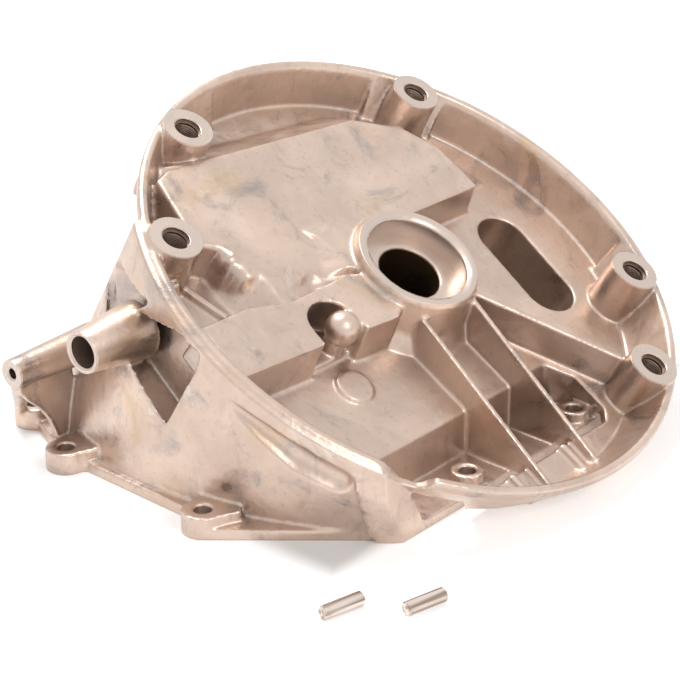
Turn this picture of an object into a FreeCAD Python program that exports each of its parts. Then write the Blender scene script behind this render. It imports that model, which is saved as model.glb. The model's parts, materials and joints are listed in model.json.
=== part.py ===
import FreeCAD, Part
import math
import os
import re
import Sketcher

# Lower crankcase half of a small vertical-shaft engine, die cast in aluminium.
# The round engine face is tilted, and the casting lies on its flat split face.
# Origin: where the crankshaft axis crosses the plane of the mounting pads.
# +Z points away from the split face.
# Face frame: x runs downhill across the engine face, y across it, z out of it along the crankshaft.
# Split frame: x and y lie in the split face, z points up from it.

V = FreeCAD.Vector
doc = FreeCAD.newDocument("Crankcase")

# Driving sizes, in millimetres and degrees
SIZES = [
    ("face_tilt", 30.0),
    ("split_drop", 70.0),
    ("rim_radius", 112.5),
    ("rim_width", 3.0),
    ("rim_drop", 2.0),
    ("rim_band", 4.0),
    ("bowl_depth", 21.0),
    ("floor_radius", 101.0),
    ("skirt_radius", 102.5),
    ("high_skirt_radius", 108.8),
    ("high_skirt_middle", 129.0),
    ("high_skirt_sweep", 124.0),
    ("low_floor", 2.4),
    ("plate", 4.5),
    ("panel_drop", 5.0),
    ("panel_top_radius", 108.3),
    ("panel_floor_radius", 105.0),
    ("panel_one_middle", 166.0),
    ("panel_one_sweep", 44.0),
    ("panel_two_middle", 100.0),
    ("panel_two_sweep", 53.0),
    ("notch_angle", -48.0),
    ("notch_width", 24.0),
    ("notch_depth", 6.8),
    ("bolt_circle_radius", 101.6),
    ("pad_radius", 10.12),
    ("pad_draft", 1.5),
    ("thread_radius", 4.75),
    ("thread_depth", 19.0),
    ("thread_chamfer", 1.0),
    ("pad_start_angle", 62.6),
    ("pad_step", 72.0),
    ("pad_extra_angle", 32.6),
    ("seal_radius", 20.6),
    ("seal_depth", 9.0),
    ("seal_chamfer", 2.2),
    ("seal_boss_radius", 25.6),
    ("seal_boss_drop", 1.0),
    ("seal_boss_round", 1.6),
    ("boss_foot", 5.0),
    ("crank_radius", 12.7),
    ("bearing_radius", 22.5),
    ("bearing_length", 44.0),
    ("housing_radius", 115.0),
    ("housing_drop", 3.5),
    ("housing_back", 62.0),
    ("housing_wall", 4.0),
    ("chamber_roof", 27.5),
    ("wall_face", 37.5),
    ("flange_face", 58.7),
    ("flange_thickness", 4.0),
    ("flange_back", 118.4),
    ("flange_side", 118.1),
    ("flange_corner_y", 76.0),
    ("flange_far_face", 47.0),
    ("far_side", 45.0),
    ("column_radius", 117.2),
    ("column_height", 31.0),
    ("lug_height", 8.5),
    ("lug_radius", 8.0),
    ("bolt_radius", 3.3),
    ("lug_one_x", -74.3),
    ("lug_one_y", 119.8),
    ("lug_two_x", -1.5),
    ("lug_two_y", 119.5),
    ("lug_three_x", -112.0),
    ("lug_three_y", 103.2),
    ("corner_boss_x", 51.4),
    ("corner_boss_y", 34.2),
    ("corner_boss_radius", 6.35),
    ("dowel_radius", 2.6),
    ("dowel_length", 16.5),
    ("dowel_bore_depth", 7.5),
    ("dowel_fit", 0.02),
    ("dowel_chamfer", 0.6),
    ("dowel_seat_gap", 8.6),
    ("left_pin_x", 70.0),
    ("left_pin_y", -136.0),
    ("right_pin_x", 89.2),
    ("right_pin_y", -116.0),
    ("pin_heading", 77.0),
    ("number_depth", 23.0),
    ("number_start", 14.5),
    ("edge_a", 88.5),
    ("pocket_radius", 107.6),
    ("pocket_near_a", 50.0),
    ("pocket_near_b", 27.0),
    ("pocket_mid_a", 67.0),
    ("pocket_mid_b", 40.0),
    ("pocket_far_a", 84.0),
    ("pocket_far_b", 39.5),
    ("pocket_end_b", 35.0),
    ("deck_drop", 5.5),
    ("deck_draft", 7.0),
    ("deck_back", 79.5),
    ("deck_front", 21.5),
    ("deck_tip", 37.5),
    ("deck_left", 76.0),
    ("deck_right", 63.5),
    ("deck_slope", 48.0),
    ("block_front", 14.5),
    ("block_front_end", 17.0),
    ("block_left", 107.0),
    ("block_right", 23.0),
    ("block_back", 12.0),
    ("trough_drop", 5.2),
    ("trough_top_b", 25.0),
    ("trough_start_b", 36.0),
    ("trough_end_b", 62.0),
    ("trough_end_slope", 42.0),
    ("leaf_start_a", -12.6),
    ("leaf_start_b", -64.0),
    ("leaf_middle_a", -11.6),
    ("leaf_middle_b", -44.0),
    ("leaf_end_a", -6.8),
    ("leaf_end_b", -26.0),
    ("leaf_height", -6.6),
    ("leaf_start_radius", 3.2),
    ("leaf_radius", 6.2),
    ("leaf_end_radius", 2.4),
    ("post_a", 9.6),
    ("post_b", -49.6),
    ("post_ball_radius", 6.8),
    ("post_foot_radius", 4.2),
    ("post_height", -10.0),
    ("post_pocket_radius", 10.5),
    ("post_pocket_a", 8.0),
    ("post_pocket_b", -54.5),
    ("disc_a", 27.5),
    ("disc_b", -53.2),
    ("disc_radius", 7.3),
    ("disc_height", 1.9),
    ("rib_width", 2.6),
    ("rib_one_b", -16.3),
    ("rib_two_b", 11.5),
    ("rib_start_drop", 5.5),
    ("rib_end_drop", 19.0),
    ("rib_end_a", 101.0),
    ("rib_three_angle", 34.1),
    ("rib_three_start", 27.0),
    ("rib_three_length", 66.0),
    ("stub_b", 28.0),
    ("stub_step", 32.0),
    ("stub_height", 2.6),
    ("slot_start_a", -2.0),
    ("slot_end_a", 28.0),
    ("slot_b", 69.5),
    ("slot_radius", 11.5),
    ("slot_depth", 28.0),
    ("dip_radius", 8.0),
    ("ridge_height", 2.8),
    ("tube_reach", 132.0),
    ("tube_root", 100.0),
    ("tube_one_x", -47.6),
    ("tube_one_z", -10.2),
    ("tube_one_radius", 7.9),
    ("tube_one_root_radius", 11.5),
    ("tube_one_bore", 6.15),
    ("tube_two_x", -88.2),
    ("tube_two_z", -31.4),
    ("tube_two_radius", 5.6),
    ("tube_two_root_radius", 7.6),
    ("tube_two_bore", 2.15),
    ("strut_top_x", -89.0),
    ("strut_top_y", -127.6),
    ("strut_top_z", 37.0),
    ("strut_foot_x", -112.6),
    ("strut_foot_y", -109.6),
    ("strut_foot_z", 7.0),
    ("strut_radius", 4.4),
    ("web_width", 3.0),
    ("recess_floor", 101.0),
    ("recess_draft", 14.0),
    ("groove_start_a", 15.2),
    ("groove_start_b", -115.6),
    ("groove_start_height", -12.0),
    ("groove_bend_a", 46.9),
    ("groove_bend_b", -106.9),
    ("groove_end_a", 60.0),
    ("groove_end_b", -99.6),
    ("groove_height", -14.8),
    ("groove_start_radius", 1.8),
    ("groove_radius", 6.1),
    ("groove_end_radius", 5.2),
]

sheet = doc.addObject("Spreadsheet::Sheet", "Sizes")
for row, (alias, value) in enumerate(SIZES, start=1):
    sheet.set("A%d" % row, alias)
    sheet.set("B%d" % row, str(value))
    sheet.setAlias("B%d" % row, alias)
doc.recompute()

FACE = "face"
SPLIT = "split"


def size(alias):
    """A driving size, read from the sheet."""
    return float(sheet.get(alias))


def cells(expression):
    """Name the sheet before each size in an expression."""
    known = {alias for alias, value in SIZES}
    return re.sub("[a-z_]+", lambda word: ("Sizes." if word[0] in known else "") + word[0], expression)


def new_body(name, frame):
    """An empty body whose axes are those of the face frame or the split frame."""
    body = doc.addObject("PartDesign::Body", name)
    if frame == FACE:
        body.Placement = FreeCAD.Placement(V(0, 0, 0), FreeCAD.Rotation(V(0, 1, 0), size("face_tilt")))
        body.setExpression("Placement.Rotation.Angle", cells("face_tilt"))
    else:
        body.setExpression("Placement.Base.z", cells("0 - split_drop"))
    return body


def new_sketch(body, level="0", role="XY_Plane", turn=None):
    """A sketch on one of the body's own planes, lifted to a level or turned about the body's z."""
    sketch = body.newObject("Sketcher::SketchObject", body.Name + "_sketch")
    plane = [feature for feature in body.Origin.OriginFeatures if feature.Role == role][0]
    sketch.AttachmentSupport = [(plane, "")]
    sketch.MapMode = "FlatFace"
    if turn is None:
        sketch.setExpression("AttachmentOffset.Base.z", cells(level))
    else:
        sketch.AttachmentOffset = FreeCAD.Placement(V(0, 0, 0), FreeCAD.Rotation(V(0, 1, 0), 1))
        sketch.setExpression("AttachmentOffset.Rotation.Angle", cells(turn))
    return sketch


def hold(sketch, geometry, point, across, along):
    """Hold a point of the sketch at two sizes from its origin."""
    for kind, expression in (("DistanceX", across), ("DistanceY", along)):
        index = sketch.addConstraint(Sketcher.Constraint(kind, -1, 1, geometry, point, 10.0))
        sketch.setExpression("Constraints[%d]" % index, cells(expression))


def outline(sketch, corners):
    """A closed outline of straight lines through the corners, drawn first as a regular polygon."""
    count = len(corners)
    reach = size("skirt_radius") / 2
    turns = [2 * math.pi * i / count for i in range(count)]
    starts = [V(reach * math.cos(turn), reach * math.sin(turn), 0) for turn in turns]
    for i in range(count):
        sketch.addGeometry(Part.LineSegment(starts[i], starts[(i + 1) % count]), False)
    for i in range(count):
        sketch.addConstraint(Sketcher.Constraint("Coincident", i, 2, (i + 1) % count, 1))
    for i, (across, along) in enumerate(corners):
        hold(sketch, i, 1, across, along)


def circle(sketch, across, along, radius):
    """A circle held by its centre and radius."""
    index = sketch.addGeometry(Part.Circle(V(1, 1, 0), V(0, 0, 1), 5), False)
    rule = sketch.addConstraint(Sketcher.Constraint("Radius", index, 5.0))
    sketch.setExpression("Constraints[%d]" % rule, cells(radius))
    hold(sketch, index, 3, across, along)


def pad(body, sketch, length, down=False, taper=None):
    """Pad a sketch, straight or with tapered sides."""
    feature = body.newObject("PartDesign::Pad", body.Name + "_pad")
    feature.Profile = sketch
    feature.Reversed = down
    feature.setExpression("Length", cells(length))
    if taper:
        feature.setExpression("TaperAngle", cells(taper))
    return feature


def draft(body, sketch, angle):
    """Slope the flat sides of the body's pad outwards or, for a negative angle, inwards from its sketch."""
    doc.recompute()
    base = body.Tip
    normal = sketch.Placement.Rotation.multVec(V(0, 0, 1))
    sides = []
    for i, face in enumerate(base.Shape.Faces, start=1):
        if abs(face.normalAt(0, 0).dot(normal)) < 0.5:
            sides.append("Face%d" % i)
        elif abs(face.CenterOfMass.sub(sketch.Placement.Base).dot(normal)) < 0.01:
            hinge = "Face%d" % i
    feature = body.newObject("PartDesign::Draft", body.Name + "_draft")
    feature.Base = (base, sides)
    feature.NeutralPlane = (base, [hinge])
    feature.Reversed = angle.startswith("0 - ")
    feature.setExpression("Angle", cells("abs(%s)" % angle))


def prism(name, frame, corners, level, length, down=True, taper=None, lean=None, role="XY_Plane"):
    """A body padded from one straight-sided outline, with a steep taper or a small draft."""
    body = new_body(name, frame)
    sketch = new_sketch(body, level, role)
    outline(sketch, corners)
    pad(body, sketch, length, down, taper)
    if lean:
        draft(body, sketch, lean)
    return body


def disc(name, frame, centre, radius, level, length, down=True, taper=None):
    """A body padded from one circle."""
    body = new_body(name, frame)
    sketch = new_sketch(body, level)
    circle(sketch, centre[0], centre[1], radius)
    pad(body, sketch, length, down, taper)
    return body


def turned(name, frame, corners, turn="0", sweep=None):
    """A body turned about the frame's z from an outline in the plane of radius and height."""
    body = new_body(name, frame)
    sketch = new_sketch(body, role="XZ_Plane", turn=turn)
    outline(sketch, corners)
    feature = body.newObject("PartDesign::Revolution", name + "_turn")
    feature.Profile = sketch
    feature.ReferenceAxis = (sketch, ["V_Axis"])
    feature.Midplane = sweep is not None
    if sweep is None:
        feature.Angle = 360
    else:
        feature.setExpression("Angle", cells(sweep))
    return body


def joined(name, shapes):
    """Shapes fused into one."""
    fuse = doc.addObject("Part::MultiFuse", name)
    fuse.Shapes = shapes
    return fuse


def removed(name, base, tool):
    """A shape with a tool's space cut out of it."""
    cut = doc.addObject("Part::Cut", name)
    cut.Base = base
    cut.Tool = tool
    return cut


def shared(name, first, second):
    """What two shapes have in common."""
    common = doc.addObject("Part::MultiCommon", name)
    common.Shapes = [first, second]
    return common


def segment(name, radius, back, top, length):
    """A round prism along the crankshaft axis, cut flat at the back."""
    drum = disc(name + "_drum", FACE, ("0", "0"), radius, top, length)
    span = "2 * " + radius
    keep = prism(name + "_keep", FACE,
                 [("0 - " + back, "0 - " + span), (span, "0 - " + span), (span, span), ("0 - " + back, span)],
                 top + " + 1", length + " + 2")
    return shared(name, drum, keep)


def face_point(angle):
    """Centre of a mounting pad at an angle round the bolt circle."""
    return ("bolt_circle_radius * cos(%s)" % angle, "bolt_circle_radius * sin(%s)" % angle)


PAD_ANGLES = {
    "one": "pad_start_angle",
    "two": "pad_start_angle + pad_step",
    "three": "pad_start_angle + 2 * pad_step",
    "four": "pad_start_angle + 180",
    "five": "pad_extra_angle",
}


def bowl():
    """The round engine face: a shallow bowl with a narrow rim, sloping skirt and flat floor."""
    return turned("bowl", FACE, [
        ("0", "0 - rim_drop"),
        ("rim_radius", "0 - rim_drop"),
        ("rim_radius", "0 - rim_drop - rim_band"),
        ("skirt_radius", "0 - bowl_depth - plate"),
        ("0", "0 - bowl_depth - plate"),
    ])


def high_skirt():
    """The steeper skirt behind the recessed wall panels."""
    return turned("high_skirt", FACE, [
        ("floor_radius - 5", "0 - rim_drop"),
        ("rim_radius", "0 - rim_drop"),
        ("rim_radius", "0 - rim_drop - rim_band"),
        ("high_skirt_radius", "0 - bowl_depth - plate"),
        ("floor_radius - 5", "0 - bowl_depth - plate"),
    ], "high_skirt_middle", "high_skirt_sweep")


def whole_plane(name, level, height):
    """A wide slab parallel to the split face."""
    reach = "3 * housing_radius"
    return prism(name, SPLIT, [
        ("0 - " + reach, "0 - " + reach), (reach, "0 - " + reach), (reach, reach), ("0 - " + reach, reach),
    ], level, height, down=False)


def bowl_hollow():
    """The bowl's inside, kept clear of the split plane at the low edge."""
    inner = "rim_radius - rim_width"
    hollow = turned("bowl_inside", FACE, [
        ("0", "5"),
        (inner, "5"),
        (inner, "0 - rim_drop"),
        ("floor_radius", "0 - bowl_depth"),
        ("0", "0 - bowl_depth"),
    ])
    return removed("bowl_hollow", hollow, whole_plane("low_bed", "0 - 20", "low_floor + 20"))


def wall_panel(name, middle, sweep):
    """A recessed panel in the inside of the rim wall, between two mounting pads."""
    return turned(name, FACE, [
        ("floor_radius - 6", "0 - panel_drop"),
        ("panel_top_radius", "0 - panel_drop"),
        ("panel_floor_radius", "0 - bowl_depth"),
        ("floor_radius - 6", "0 - bowl_depth"),
    ], middle, sweep)


def housing():
    """The crank chamber's outer wall, a drum along the crankshaft that runs down to the split face."""
    return segment("housing", "housing_radius", "housing_back", "0 - housing_drop", "2 * housing_radius")


def flange():
    """The flat flange along the split face, cut off square on the side that is not seen."""
    return prism("flange", SPLIT, [
        ("0 - flange_back", "0 - flange_side + 20"),
        ("0 - flange_back + 2", "0 - flange_side + 10"),
        ("0 - flange_back + 11", "0 - flange_side + 11.4"),
        ("lug_one_x - 20", "0 - flange_side + 6"),
        ("lug_one_x - 4", "0 - flange_side"),
        ("lug_two_x + 4", "0 - flange_side"),
        ("lug_two_x + 5.3", "0 - lug_two_y - 6"),
        ("flange_face - 1.7", "0 - flange_corner_y - 3.3"),
        ("flange_face", "0 - flange_corner_y"),
        ("flange_face", "far_side"),
        ("flange_far_face", "far_side"),
        ("flange_far_face", "2 * far_side - 2"),
        ("lug_two_x + 5.3", "lug_two_y + 6"),
        ("lug_two_x - 4.5", "flange_side"),
        ("lug_one_x - 4", "flange_side"),
        ("lug_one_x - 20", "flange_side - 6"),
        ("0 - flange_back + 11", "flange_side - 11.4"),
        ("0 - flange_back + 2", "flange_side - 10"),
        ("0 - flange_back", "flange_side - 20"),
    ], "0", "flange_thickness", down=False)


LUGS = [
    ("lug_one_x", "0 - lug_one_y"),
    ("lug_two_x", "0 - lug_two_y"),
    ("lug_three_x", "0 - lug_three_y"),
    ("lug_one_x", "lug_one_y"),
    ("lug_two_x", "lug_two_y"),
    ("lug_three_x", "lug_three_y"),
]
CORNER_BOSSES = [("corner_boss_x", "0 - corner_boss_y"), ("corner_boss_x", "corner_boss_y")]


def lug_corners(x, y):
    """The arrow-shaped outline that ties a lug to the housing."""
    inward = "1" if y.startswith("0") else "( 0 - 1 )"

    def corner(across, along):
        return ("%s + %s * lug_radius" % (x, across), "%s + %s * %s * lug_radius" % (y, inward, along))

    return [corner("( 0 - 1 )", "0"), corner("0.75", "( 0 - 0.65 )"), corner("1.45", "1"),
            corner("0.6", "1.7"), corner("( 0 - 0.8 )", "1.7")]


def lugs():
    """Round-ended bolt lugs that reach back to the housing."""
    shapes = []
    for number, (x, y) in enumerate(LUGS, start=1):
        shapes.append(disc("lug_%d" % number, SPLIT, (x, y), "lug_radius", "0", "lug_height", down=False))
        shapes.append(prism("lug_%d_web" % number, SPLIT, lug_corners(x, y), "0", "lug_height", down=False))
    return shapes


def corner_bosses():
    """The two round bosses that stand on the flange in the deep pocket."""
    return [disc("corner_boss_%d" % number, SPLIT, centre, "corner_boss_radius", "0", "lug_height", down=False)
            for number, centre in enumerate(CORNER_BOSSES, start=1)]


def bolt_holes():
    """Clear holes for the split-face bolts and blind bores for the two dowel pins."""
    shapes = []
    for number, (x, y) in enumerate(LUGS + CORNER_BOSSES, start=1):
        shapes.append(disc("bolt_hole_%d" % number, SPLIT, (x, y), "bolt_radius",
                           "0 - 1", "lug_height + 2", down=False))
    for number, y in enumerate(("dowel_seat_gap - lug_one_y", "lug_one_y - dowel_seat_gap"), start=1):
        shapes.append(disc("dowel_bore_%d" % number, SPLIT, ("lug_one_x", y), "dowel_radius + dowel_fit",
                           "0 - 1", "dowel_bore_depth + 1", down=False))
    return shapes


def corner_column():
    """The upright corner under the dip in the rim, where the housing wall meets the flat face."""
    stem = prism("column_stem", SPLIT, [
        ("flange_face", "0 - flange_corner_y + 6"),
        ("flange_face", "0 - housing_radius"),
        ("flange_face - 7", "0 - housing_radius"),
        ("flange_face - 9", "0 - flange_corner_y - 13"),
    ], "0", "column_height", down=False)
    drum = turned("column_drum", FACE, [
        ("0", "0 - rim_drop - 1"),
        ("rim_radius", "0 - rim_drop - 1"),
        ("housing_radius", "0 - rim_drop - rim_band"),
        ("column_radius", "0 - rim_drop - 3 * rim_band"),
        ("column_radius", "0 - 2 * housing_radius"),
        ("0", "0 - 2 * housing_radius"),
    ])
    return shared("corner_column", stem, drum)


def beyond_walls():
    """Space beside the housing: outside its flat face, and outside the narrower far side."""
    reach = "3 * housing_radius"
    return prism("beyond_walls", SPLIT, [
        ("flange_face", "0 - " + reach),
        (reach, "0 - " + reach),
        (reach, reach),
        ("wall_face", reach),
        ("wall_face", "far_side"),
        ("flange_face", "far_side"),
    ], "0 - 1", "3 * housing_radius", down=False)


def skirt_clearance():
    """The skirt's lowest edge stays clear of the split plane outside the flange."""
    reach = "3 * housing_radius"
    return prism("skirt_clearance", SPLIT, [
        ("flange_face", "0 - " + reach), (reach, "0 - " + reach), (reach, reach), ("flange_face", reach),
    ], "0.8", "2 * housing_radius")


def deep_pocket():
    """The open pocket beside the chamber wall, down to the flange, with its through gap at the low edge."""
    opening = prism("pocket_opening", FACE, [
        ("0 - pocket_near_a * 0.2", "0 - 2 * pocket_radius"),
        ("edge_a", "0 - 2 * pocket_radius"),
        ("edge_a", "pocket_end_b"),
        ("pocket_far_a", "pocket_far_b"),
        ("pocket_mid_a", "pocket_mid_b"),
        ("pocket_near_a", "pocket_near_b"),
        ("0 - pocket_near_a * 0.2", "0"),
    ], "5", "2 * housing_radius")
    drum = disc("pocket_drum", FACE, ("0", "0"), "pocket_radius", "5", "2 * housing_radius")
    reach = "3 * housing_radius"
    beside = prism("pocket_beside", SPLIT, [
        ("wall_face", "0 - " + reach), (reach, "0 - " + reach), (reach, reach), ("wall_face", reach),
    ], "flange_thickness", "3 * housing_radius", down=False)
    return shared("deep_pocket", shared("round_pocket", opening, drum), beside)


def number_floor():
    """The lower floor between the block and the chamber wall, where the casting number stands."""
    floor = prism("number_area", FACE, [
        ("number_start", "0 - 2 * floor_radius"),
        ("floor_radius * 0.75", "0 - 2 * floor_radius"),
        ("floor_radius * 0.75", "rib_two_b"),
        ("number_start", "rib_two_b"),
    ], "0 - bowl_depth + 1", "number_depth - bowl_depth + 1")
    drum = disc("number_drum", FACE, ("0", "0"), "floor_radius", "0", "2 * bowl_depth")
    return shared("number_floor", floor, drum)


DECK = [
    ("0 - deck_back", "0 - deck_left + 12"),
    ("0 - deck_back + 2", "0 - deck_left + 35"),
    ("0 - deck_back + 4.5", "0"),
    ("0 - deck_back + 6.5", "deck_right - 28"),
    ("0 - deck_back + 19", "deck_right - 8"),
    ("0 - deck_back + 34", "deck_right"),
    ("0 - deck_front", "deck_right"),
    ("0 - deck_front", "0"),
    ("0 - deck_front + 14", "0 - 27.5"),
    ("0 - deck_front - 0.7", "0 - 26"),
    ("0 - deck_tip + 3", "0 - 33"),
    ("0 - deck_tip", "0 - 41"),
    ("0 - deck_tip", "0 - deck_left + 8"),
    ("0 - deck_tip - 7", "0 - deck_left - 4"),
    ("0 - deck_back + 20", "0 - deck_left"),
    ("0 - deck_back + 3", "0 - deck_left + 4"),
]


def deck():
    """The raised flat deck round the upper side of the seal boss."""
    return prism("deck", FACE, DECK, "0 - deck_drop", "bowl_depth - deck_drop + 1", lean="deck_draft")


def deck_ramp():
    """The long slope from the deck down to the rim wall."""
    return prism("deck_ramp", FACE, [
        ("0 - deck_back + 1", "0 - deck_left + 26"),
        ("0 - deck_back + 4.5", "0"),
        ("0 - deck_back + 7", "deck_right - 28"),
        ("0 - deck_back + 19.5", "deck_right - 8"),
        ("0 - deck_back + 36", "deck_right - 1"),
        ("0 - deck_back + 38", "deck_right - 20"),
        ("0 - deck_back + 25", "0 - deck_left + 38"),
    ], "0 - deck_drop - 0.3", "bowl_depth - deck_drop - 0.3", taper="deck_slope")


def block():
    """The lower block beside the seal boss, with its steep front."""
    body = prism("block", FACE, [
        ("0 - block_back", "0 - block_left"),
        ("0 - block_back", "0 - block_left + 24"),
        ("0 - block_back + 5", "0 - block_left + 44"),
        ("0 - block_back + 4", "0 - block_right - 8"),
        ("0 - block_back + 8", "0 - block_right + 4"),
        ("block_front - 1", "0 - block_right + 3"),
        ("block_front_end", "0 - block_right - 4"),
        ("block_front", "0 - block_left + 41"),
        ("block_front - 2", "0 - block_left"),
    ], "0 - deck_drop", "number_depth - deck_drop + 1", lean="deck_draft")
    drum = disc("block_drum", FACE, ("0", "0"), "floor_radius + 6", "0", "2 * bowl_depth")
    return shared("block_in_bowl", body, drum)


TROUGH_SECTION = [
    ("0 - deck_tip - 6", "0 - deck_drop"),
    ("0 - deck_tip", "0 - deck_drop"),
    ("0 - block_back", "0 - deck_drop - trough_drop"),
    ("block_back", "0 - deck_drop - trough_drop"),
    ("block_back", "0 - bowl_depth - 20"),
    ("0 - deck_tip - 6", "0 - bowl_depth - 20"),
]


def trough_bed():
    """The hollow beside the deck: it slopes down from a sharp edge to the block and falls off at one end."""
    level = prism("trough_level", FACE, TROUGH_SECTION, "trough_start_b - 6",
                  "trough_end_b - trough_start_b + 6", down=False, role="XZ_Plane")
    fall = prism("trough_fall", FACE, TROUGH_SECTION, "trough_end_b", "15", down=False,
                 taper="0 - trough_end_slope", role="XZ_Plane")
    slope = prism("trough_slope", FACE, [
        ("0 - trough_top_b", "0 - deck_drop"),
        ("0 - trough_top_b - 3", "0 - deck_drop - 0.3"),
        ("0 - trough_start_b", "0 - deck_drop - trough_drop + 0.6"),
        ("0 - trough_start_b - 6", "0 - deck_drop - trough_drop"),
        ("0 - trough_start_b - 6", "0 - bowl_depth"),
        ("0 - trough_top_b", "0 - bowl_depth"),
    ], "0 - deck_tip + 1", "deck_tip - 9", down=False, role="YZ_Plane")
    return joined("trough_bed", [level, fall, slope])


def frame_placement(frame):
    """Where the face frame or the split frame stands."""
    if frame == FACE:
        return FreeCAD.Placement(V(0, 0, 0), FreeCAD.Rotation(V(0, 1, 0), size("face_tilt")))
    return FreeCAD.Placement(V(0, 0, -size("split_drop")), FreeCAD.Rotation())


def cone(name, frame, start, end, start_radius, end_radius):
    """A round bar that widens or narrows between two points of a frame."""
    first = V(*[size(alias) for alias in start])
    last = V(*[size(alias) for alias in end])
    bar = doc.addObject("Part::Cone", name)
    bar.setExpression("Radius1", cells(start_radius))
    bar.setExpression("Radius2", cells(end_radius))
    bar.Height = first.distanceToPoint(last)
    turn = FreeCAD.Rotation(V(0, 0, 1), last.sub(first))
    bar.Placement = frame_placement(frame).multiply(FreeCAD.Placement(first, turn))
    return bar


def leaf():
    """The leaf-shaped groove along the block's far wall."""
    start = ("leaf_start_a", "leaf_start_b", "leaf_height")
    middle = ("leaf_middle_a", "leaf_middle_b", "leaf_height")
    end = ("leaf_end_a", "leaf_end_b", "leaf_height")
    return [
        cone("leaf_start", FACE, start, middle, "leaf_start_radius", "leaf_radius"),
        ball("leaf_bend", middle, "leaf_radius + 0.2"),
        cone("leaf_end", FACE, middle, end, "leaf_radius", "leaf_end_radius"),
    ]


def ball(name, centre, radius):
    """A ball about a point of the face frame."""
    sphere = doc.addObject("Part::Sphere", name)
    sphere.setExpression("Radius", cells(radius))
    sphere.Placement.Base = frame_placement(FACE).multVec(V(*[size(alias) for alias in centre]))
    return sphere


def post():
    """The ball-headed post that stands in a pocket of the block."""
    foot = disc("post_foot", FACE, ("post_a", "post_b"), "post_foot_radius", "0 - number_depth - 1",
                "number_depth + post_height + 1", down=False, taper="5")
    return [foot, ball("post_ball", ("post_a", "post_b", "post_height"), "post_ball_radius")]


def post_pocket():
    """The pocket round the post, open towards the number floor."""
    round_part = disc("post_pocket_round", FACE, ("post_pocket_a", "post_pocket_b"), "post_pocket_radius",
                      "0", "number_depth")
    mouth = prism("post_pocket_mouth", FACE, [
        ("post_pocket_a", "post_pocket_b - post_pocket_radius"),
        ("block_front_end + 12", "post_pocket_b - post_pocket_radius - 2"),
        ("block_front_end + 12", "post_pocket_b + post_pocket_radius + 1"),
        ("post_pocket_a", "post_pocket_b + post_pocket_radius"),
    ], "0", "number_depth")
    return [round_part, mouth]


def rib(name, across, start_drop, end_drop, low_drop):
    """A straight rib along the face frame's x, from the seal boss over the pocket to the rim."""
    body = new_body(name, FACE)
    sketch = new_sketch(body, "0 - ( " + across + " )", "XZ_Plane")
    pocket_drop = "( split_drop - flange_thickness ) / cos(face_tilt)"
    slope = "tan(face_tilt)"
    outline(sketch, [
        ("seal_boss_radius - 4", "0 - " + start_drop),
        ("rib_end_a", "0 - " + end_drop),
        ("rib_end_a + 2", "0 - bowl_depth - 1"),
        ("edge_a - 1", "0 - " + pocket_drop + " + ( edge_a - 1 ) * " + slope + " - 0.5"),
        ("edge_a * 0.66", "0 - " + pocket_drop + " + edge_a * 0.66 * " + slope + " - 0.5"),
        ("edge_a * 0.6", "0 - " + low_drop),
        ("seal_boss_radius - 4", "0 - " + low_drop),
    ])
    feature = pad(body, sketch, "rib_width")
    feature.Midplane = True
    return body


def slanting_rib():
    """The rib from the seal boss towards the lowest mounting pad."""
    body = doc.addObject("Part::Box", "rib_three")
    body.setExpression("Length", cells("rib_three_length"))
    body.setExpression("Width", cells("rib_width"))
    body.setExpression("Height", cells("bowl_depth - rib_start_drop + 0.5"))
    turn = FreeCAD.Rotation(V(0, 0, 1), size("rib_three_angle"))
    corner = turn.multVec(V(size("rib_three_start"), -size("rib_width") / 2, 0))
    corner.z = -size("bowl_depth") - 0.5
    body.Placement = frame_placement(FACE).multiply(FreeCAD.Placement(corner, turn))
    return body


def ribs():
    """The three long ribs, two low stubs at the rim and the small ridge on the bowl's floor."""
    shapes = [
        rib("rib_one", "rib_one_b", "( rib_start_drop + 1.5 )", "rib_end_drop", "( number_depth + 1 )"),
        rib("rib_two", "rib_two_b", "rib_start_drop", "( rib_end_drop - 1 )", "( number_depth + 1 )"),
        slanting_rib(),
    ]
    for number in range(2):
        middle = "0 - stub_b + %d * stub_step" % number
        shapes.append(prism("stub_%d" % number, FACE, [
            ("edge_a", middle + " - rib_width / 2"),
            ("rib_end_a", middle + " - rib_width / 2"),
            ("rib_end_a", middle + " + rib_width / 2"),
            ("edge_a", middle + " + rib_width / 2"),
        ], "0 - bowl_depth + stub_height", "stub_height + 1", lean="8"))
    shapes.append(prism("floor_ridge", FACE, [
        ("0 - deck_tip - 2", "0 - deck_left - 13"),
        ("0 - block_back - 6", "0 - deck_left - 6"),
        ("0 - block_back - 7", "0 - deck_left - 3"),
        ("0 - deck_tip - 3", "0 - deck_left - 10"),
    ], "0 - bowl_depth + ridge_height", "ridge_height + 1", lean="12"))
    return shapes


def mounting_pads():
    """The five round pads that the driven machine is bolted to."""
    shapes = []
    for name, angle in PAD_ANGLES.items():
        shapes.append(disc("pad_" + name, FACE, face_point(angle), "pad_radius", "0",
                           "bowl_depth + 1", taper="pad_draft"))
    return shapes


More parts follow.
